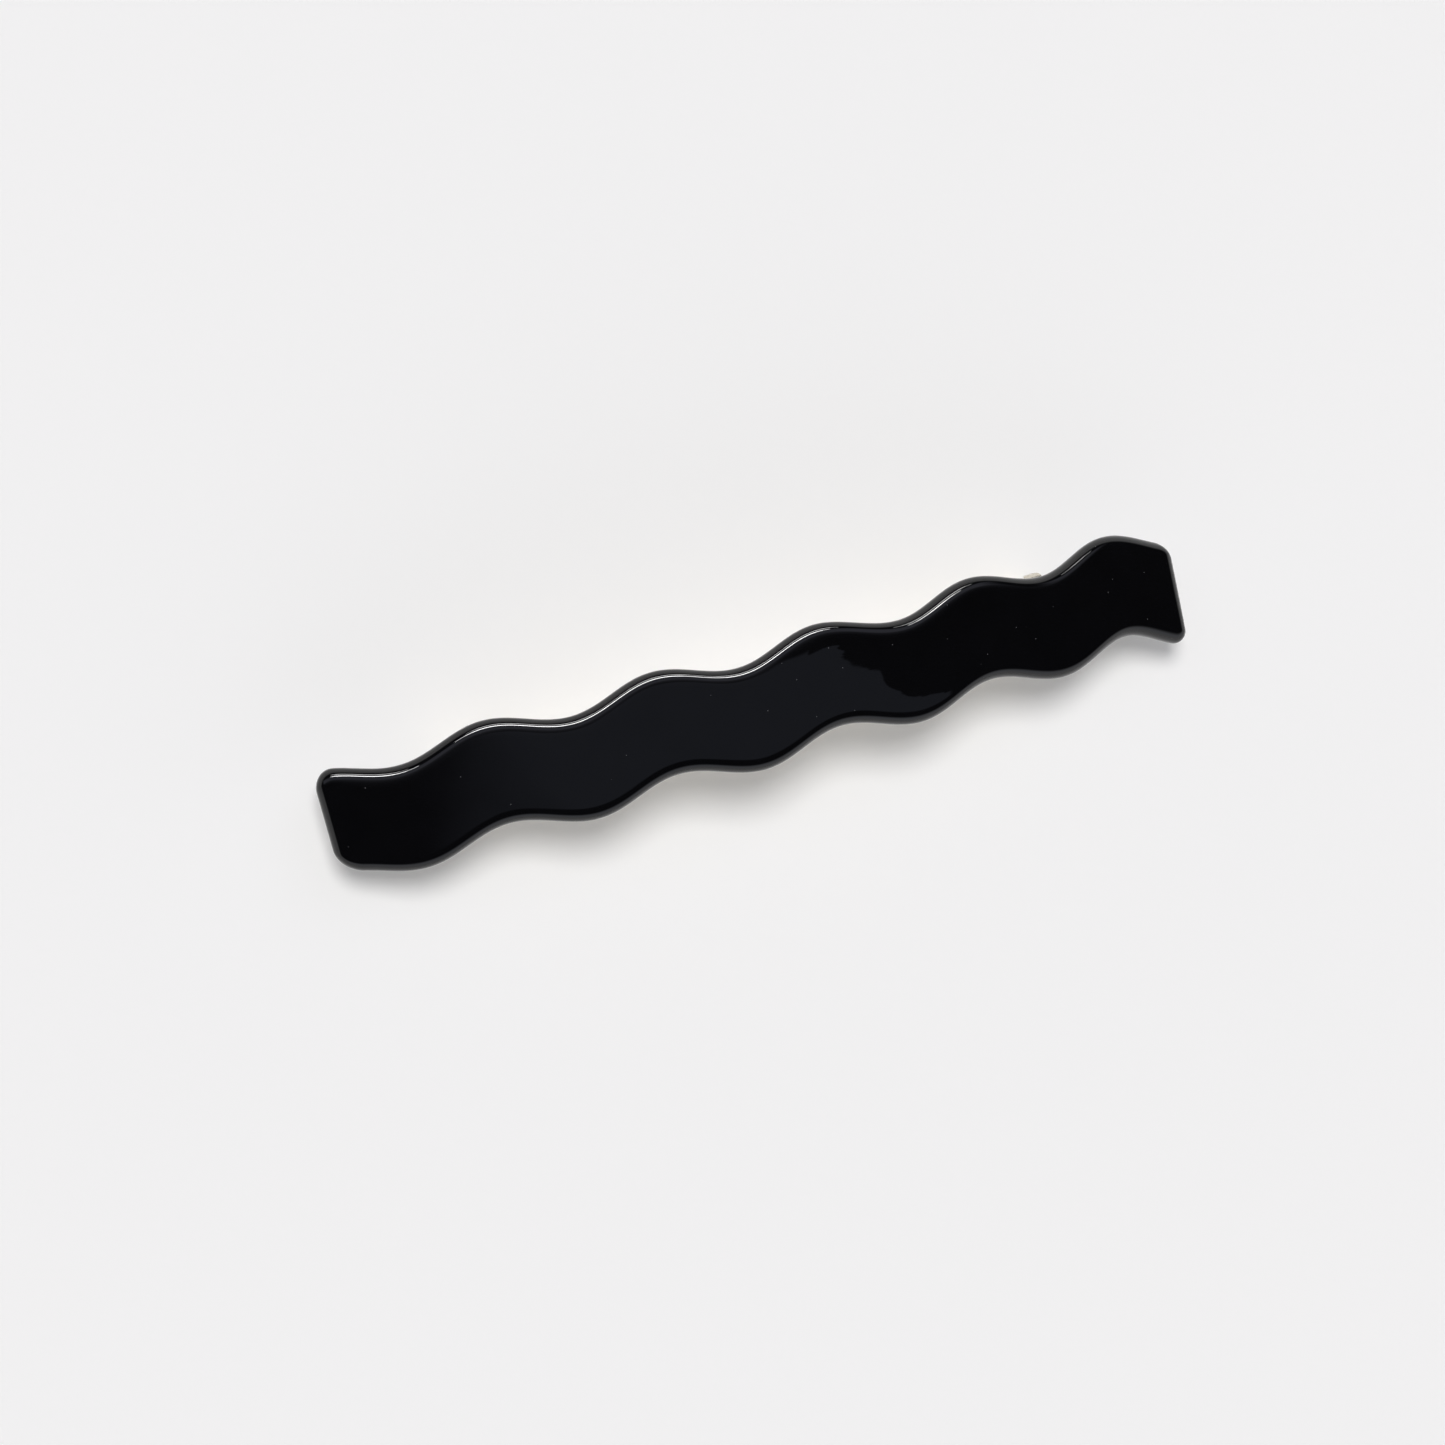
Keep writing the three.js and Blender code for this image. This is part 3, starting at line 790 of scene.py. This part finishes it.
BRIDGE_THICKNESS = 0.5
BRIDGE_TOP = PLATE_BOTTOM - 0.05
BRIDGE_BOTTOM = BRIDGE_TOP - BRIDGE_THICKNESS
BRIDGE_HALF_LENGTH = 1.7
BRIDGE_HALF_WIDTH = 1.5
LATCH_RIVET_TIP = -1.42
LATCH_RIVET_HEAD = (0.95, 0.3)
LEG_MIDDLE = 2.025
LEG_HALF_LENGTH = 1.3
LEG_TOP = -2.62
LEG_BOTTOM = -10.22
SHOULDER_BEND = 0.32
HOOK_CURL = 0.3
HOOK_TAPER = 0.25  # share by which a leg narrows towards its hook's tip
TAB_HEIGHT = -4.22
TAB_REACH = 4.32
TAB_HALF_LENGTH = 1.1
TAB_BEND = 0.5
TAB_LIP = 0.75  # how far the tab's tip hangs down
TAB_ROUND_START = 0.45  # share of the way along the tab where it starts to narrow


def latch_bridge():
    half = [(reach, BRIDGE_HALF_WIDTH, 0.3) for reach in (BRIDGE_HALF_LENGTH, -BRIDGE_HALF_LENGTH)]
    hole = circle(0, 0, LATCH_RIVET_RADIUS + HOLE_PLAY)
    plate = blank(rounded(mirrored(half)), [hole], BRIDGE_THICKNESS, ROLLED_EDGE)
    place = frame_at(LATCH_S) @ Matrix.Translation((0, 0, (BRIDGE_TOP + BRIDGE_BOTTOM) / 2))
    return formed(plate, [], [], lambda x, y, z: place @ Vector((x, y, z)))


def latch_prong(side):
    """A sprung leg that bends down beside the bridge, with a finger tab and a rolled hook at its foot."""
    place = frame_at(LATCH_S) @ Matrix.Rotation(0 if side > 0 else math.pi, 4, "Z")
    bend_height = LEG_TOP - SHEET / 2 - SHOULDER_BEND
    curl_height = LEG_BOTTOM + SHEET / 2 + HOOK_CURL
    shoulder = arc_path((LEG_MIDDLE - SHOULDER_BEND, bend_height), SHOULDER_BEND, 75, 0)
    shin = [(LEG_MIDDLE, z) for z in evenly(bend_height, curl_height, -0.8)[1:-1]]
    hook = arc_path((LEG_MIDDLE + HOOK_CURL, curl_height), HOOK_CURL, 180, 320)
    widths = [LEG_HALF_LENGTH] * len(shoulder + shin)
    widths += [LEG_HALF_LENGTH * (1 - HOOK_TAPER * i / len(hook)) for i in range(len(hook))]
    leg = swept_strip(shoulder + shin + hook, widths, place, "yz")
    bend_start = TAB_REACH - TAB_BEND
    tab = [(y, TAB_HEIGHT) for y in evenly(LEG_MIDDLE, bend_start, 0.2)[:-1]]
    tab += arc_path((bend_start, TAB_HEIGHT - TAB_BEND), TAB_BEND, 90, 0)
    tab += [(TAB_REACH, TAB_HEIGHT - TAB_LIP)]
    tab_widths = []
    for i in range(len(tab)):
        past = max(0.0, i / (len(tab) - 1) - TAB_ROUND_START) / (1 - TAB_ROUND_START)
        tab_widths.append(TAB_HALF_LENGTH * math.sqrt(1 - 0.75 * past**2))
    return combined(leg, swept_strip(tab, tab_widths, place, "yz"), "UNION")


add_piece("sprung_latch_bridge", latch_bridge(), "latch_bridge", "bar_and_base", SPRING)
latch_rivet = rivet(LATCH_S, BRIDGE_BOTTOM, LATCH_RIVET_TIP, LATCH_RIVET_RADIUS, LATCH_RIVET_HEAD)
add_piece("domed_latch_rivet", latch_rivet, "latch_rivet", "bar_and_base", PLATED)
for name, side in (("front", -1), ("rear", 1)):
    node = "latch_prong_" + name
    add_piece("hooked_prong_" + name, latch_prong(side), node, node, SPRING)


# ---- Floor, light and camera ----

WHITE = 0.88  # radiance of the table and of the studio round it
OVERHEAD = 0.022  # radiance overhead
FRONT_TINT = (-0.05, -0.02, 0.08)  # what cools the white high up at the front
CEILING = (0.162, 0.177, 0.222)
CURTAIN = (0.47, 0.48, 0.58)
TABLE_GLOW = (0.222, 0.219, 0.212)  # radiance that the backlit table gives by itself
TABLE_RADIUS = 600 * MM
TABLE_FADE = (130 * MM, 420 * MM)  # where the table starts to turn into plain white, and where it has
centre = (cad_bounds[0] + cad_bounds[1]) / 2


def table():
    """A backlit white acrylic table that fades into the studio's own white, so that no horizon shows."""
    shader = Shader("pale_table")
    surface = shader.surface
    grain = shader.noise(1500.0, 3.0)
    shader.link(shader.mix(grain, (0.80, 0.80, 0.80), (0.79, 0.79, 0.79)), surface.inputs["Base Color"])
    surface.inputs["Roughness"].default_value = 0.9
    surface.inputs["Specular IOR Level"].default_value = 0.0
    surface.inputs["Emission Color"].default_value = (*TABLE_GLOW, 1)
    surface.inputs["Emission Strength"].default_value = 1.0
    glow = shader.add("ShaderNodeEmission")
    glow.inputs["Strength"].default_value = WHITE
    glow.inputs["Color"].default_value = (1, 1, 1, 1)
    length = shader.add("ShaderNodeVectorMath", operation="LENGTH")
    shader.link(shader.place, length.inputs[0])
    fade = shader.add("ShaderNodeMapRange", interpolation_type="SMOOTHSTEP")
    fade.inputs["From Min"].default_value, fade.inputs["From Max"].default_value = TABLE_FADE
    shader.link(length.outputs["Value"], fade.inputs["Value"])
    blend = shader.add("ShaderNodeMixShader")
    shader.link(fade.outputs["Result"], blend.inputs["Fac"])
    shader.link(surface.outputs[0], blend.inputs[1])
    shader.link(glow.outputs[0], blend.inputs[2])
    shader.link(blend.outputs[0], shader.tree.nodes["Material Output"].inputs["Surface"])
    mesh = bpy.data.meshes.new("table")
    disc = bmesh.new()
    bmesh.ops.create_circle(disc, cap_ends=True, segments=128, radius=TABLE_RADIUS)
    disc.to_mesh(mesh)
    disc.free()
    mesh.materials.append(shader.material)
    linked("table", mesh)


class Sky:
    """The world's node tree, in terms of the direction that a ray leaves in.

    The direction has length 1. Its x points to the latch end, its y to the rear and its z up.
    """

    def __init__(self):
        self.world = bpy.data.worlds.new("studio")
        self.world.use_nodes = True
        self.tree = self.world.node_tree
        where = self.tree.nodes.new("ShaderNodeTexCoord")
        split = self.tree.nodes.new("ShaderNodeSeparateXYZ")
        self.tree.links.new(where.outputs["Generated"], split.inputs[0])
        self.direction = where.outputs["Generated"]
        self.x, self.y, self.z = split.outputs

    def feed(self, socket, value):
        if isinstance(value, (int, float)):
            socket.default_value = value
        else:
            self.tree.links.new(value, socket)

    def math(self, operation, a, b):
        node = self.tree.nodes.new("ShaderNodeMath")
        node.operation = operation
        self.feed(node.inputs[0], a)
        self.feed(node.inputs[1], b)
        return node.outputs[0]

    def step(self, value, low, high, to_low=0.0, to_high=1.0):
        node = self.tree.nodes.new("ShaderNodeMapRange")
        node.interpolation_type = "SMOOTHSTEP"
        for name, number in (("Value", value), ("From Min", low), ("From Max", high)):
            self.feed(node.inputs[name], number)
        node.inputs["To Min"].default_value = to_low
        node.inputs["To Max"].default_value = to_high
        return node.outputs["Result"]

    def grain(self, scale):
        """Noise of its own scale along each axis."""
        stretch = self.tree.nodes.new("ShaderNodeVectorMath")
        stretch.operation = "MULTIPLY"
        self.tree.links.new(self.direction, stretch.inputs[0])
        stretch.inputs[1].default_value = scale
        noise = self.tree.nodes.new("ShaderNodeTexNoise")
        noise.inputs["Scale"].default_value = 1.0
        self.tree.links.new(stretch.outputs[0], noise.inputs["Vector"])
        return noise.outputs["Fac"]

    def scaled(self, amount, colour):
        node = self.tree.nodes.new("ShaderNodeVectorMath")
        node.operation = "SCALE"
        node.inputs[0].default_value = colour
        self.feed(node.inputs["Scale"], amount)
        return node.outputs[0]

    def added(self, a, b):
        node = self.tree.nodes.new("ShaderNodeVectorMath")
        node.operation = "ADD"
        self.tree.links.new(a, node.inputs[0])
        self.tree.links.new(b, node.inputs[1])
        return node.outputs[0]


def white_ring(sky):
    """White round the horizon, higher and cooler towards the front, and nearly black overhead."""
    front = sky.math("MAXIMUM", sky.math("MULTIPLY", sky.y, -1.0), 0.0)
    foot = sky.math("ADD", sky.math("MULTIPLY", front, 0.28), 0.14)
    top = sky.math("ADD", sky.math("MULTIPLY", front, 0.50), 0.34)
    white = sky.step(sky.z, foot, top, WHITE, OVERHEAD)
    above = sky.math("MULTIPLY", white, sky.step(sky.z, 0.18, 0.30))
    cool = sky.scaled(sky.math("MULTIPLY", front, above), FRONT_TINT)
    return sky.added(sky.scaled(white, (1, 1, 1)), cool)


def ceiling(sky):
    """A dim, bluish ceiling that ends in ragged steps on the right."""
    ragged = sky.math("ADD", sky.x, sky.math("MULTIPLY", sky.grain((26.0, 70.0, 26.0)), 0.045))
    slope = sky.step(sky.y, -0.155, -0.070, 0.0, 0.12)
    first_step = sky.step(sky.y, -0.050, -0.046, 0.0, 0.05)
    second_step = sky.step(sky.y, -0.002, 0.006, 0.0, 0.07)
    past = sky.math("ADD", ragged, sky.math("ADD", slope, sky.math("ADD", first_step, second_step)))
    along = sky.math("MULTIPLY", sky.step(sky.x, -0.34, -0.06), sky.step(past, 0.624, 0.628, 1.0, 0.0))
    rear = sky.math("SUBTRACT", sky.y, sky.step(sky.x, 0.24, 0.36, 0.040, 0.0))
    across = sky.math("MULTIPLY", sky.step(sky.y, -0.20, -0.17), sky.step(rear, 0.010, 0.026, 1.0, 0.0))
    return sky.scaled(sky.math("MULTIPLY", along, across), CEILING)


def curtain(sky):
    """A paler curtain that hangs behind the ceiling, under the strip lights."""
    hang = sky.math("MULTIPLY", sky.step(sky.y, 0.02, 0.22), sky.step(sky.y, 0.50, 0.60, 1.0, 0.0))
    spread = sky.math("MULTIPLY", sky.step(sky.x, -0.80, -0.70), sky.step(sky.x, 0.66, 0.80, 1.0, 0.0))
    return sky.scaled(sky.math("MULTIPLY", hang, spread), CURTAIN)


def studio():
    sky = Sky()
    light = sky.added(white_ring(sky), sky.added(ceiling(sky), curtain(sky)))
    sky.tree.links.new(light, sky.tree.nodes["Background"].inputs["Color"])
    bpy.context.scene.world = sky.world


def towards(x, rear_angle):
    """A direction by its share along the bar and its angle from straight up, towards the rear."""
    angle = math.radians(rear_angle)
    rest = math.sqrt(1 - x * x)
    return Vector((x, rest * math.sin(angle), rest * math.cos(angle)))


def aimed(away):
    """The turn of a light that lies in a direction: its z points away from the bar and its x along it."""
    along = (Vector((1, 0, 0)) - away * away.x).normalized()
    return Matrix((along, away.cross(along), away)).transposed().to_euler()


def gloss_strip(name, x, rear_angle, distance, size, radiance):
    """A long softbox that only reflections show."""
    light = bpy.data.lights.new(name, "AREA")
    light.shape = "RECTANGLE"
    light.size, light.size_y = size
    light.energy = radiance * math.pi * size[0] * size[1]
    away = towards(x, rear_angle)
    lamp = linked(name, light)
    lamp.location = centre + away * distance
    lamp.rotation_euler = aimed(away)
    lamp.visible_diffuse = False
    light.cycles.max_bounces = 1


def key_light(x, rear_angle, width, strength, colour):
    """A broad even light that casts the soft shadow; it is left out of reflections."""
    light = bpy.data.lights.new("key", "SUN")
    light.angle = math.radians(width)
    light.energy = strength
    light.color = colour
    lamp = linked("key", light)
    lamp.rotation_euler = aimed(towards(x, rear_angle))
    lamp.visible_glossy = False


table()
studio()
key_light(x=-0.20, rear_angle=16, width=19, strength=1.97, colour=(0.99, 0.977, 0.956))
# Three strips of growing length, one behind another, so that each rim light fades towards its ends.
for distance, length in ((1.0, 0.66), (1.01, 0.84), (1.02, 1.02)):
    gloss_strip("rim_strip_inner", 0.06, 41, distance, size=(length, 0.075), radiance=18.0)
    gloss_strip("rim_strip_outer", 0.16, 57, distance, size=(length, 0.05), radiance=8.0)

# The view of the bar itself: how it leans, how it turns and how steeply it is seen.
LEAN = math.radians(50)
TURN = math.radians(24.65)
STEEPNESS = math.radians(40.64)
CAMERA_DISTANCE = 555.6
CAMERA_OFFSET = (-6.55, -2.51)  # of the lens axis from the middle of the bar, right and up
LENS = 138.9
SENSOR = 36.0


def camera():
    lean = Matrix.Rotation(LEAN, 3, "X")
    turn = Matrix.Rotation(TURN, 3, "Z")
    tilt = Matrix.Rotation(STEEPNESS - math.pi / 2, 3, "X")
    axes = (tilt @ turn @ lean).transposed()
    data = bpy.data.cameras.new("camera")
    data.lens = LENS
    data.sensor_width = SENSOR
    lens = linked("camera", data)
    place = ARCH_ORIGIN + axes @ Vector((*CAMERA_OFFSET, CAMERA_DISTANCE))
    lens.matrix_world = Matrix.Translation(place * MM) @ axes.to_4x4()
    bpy.context.scene.camera = lens


camera()
bpy.context.scene.view_settings.view_transform = "Standard"
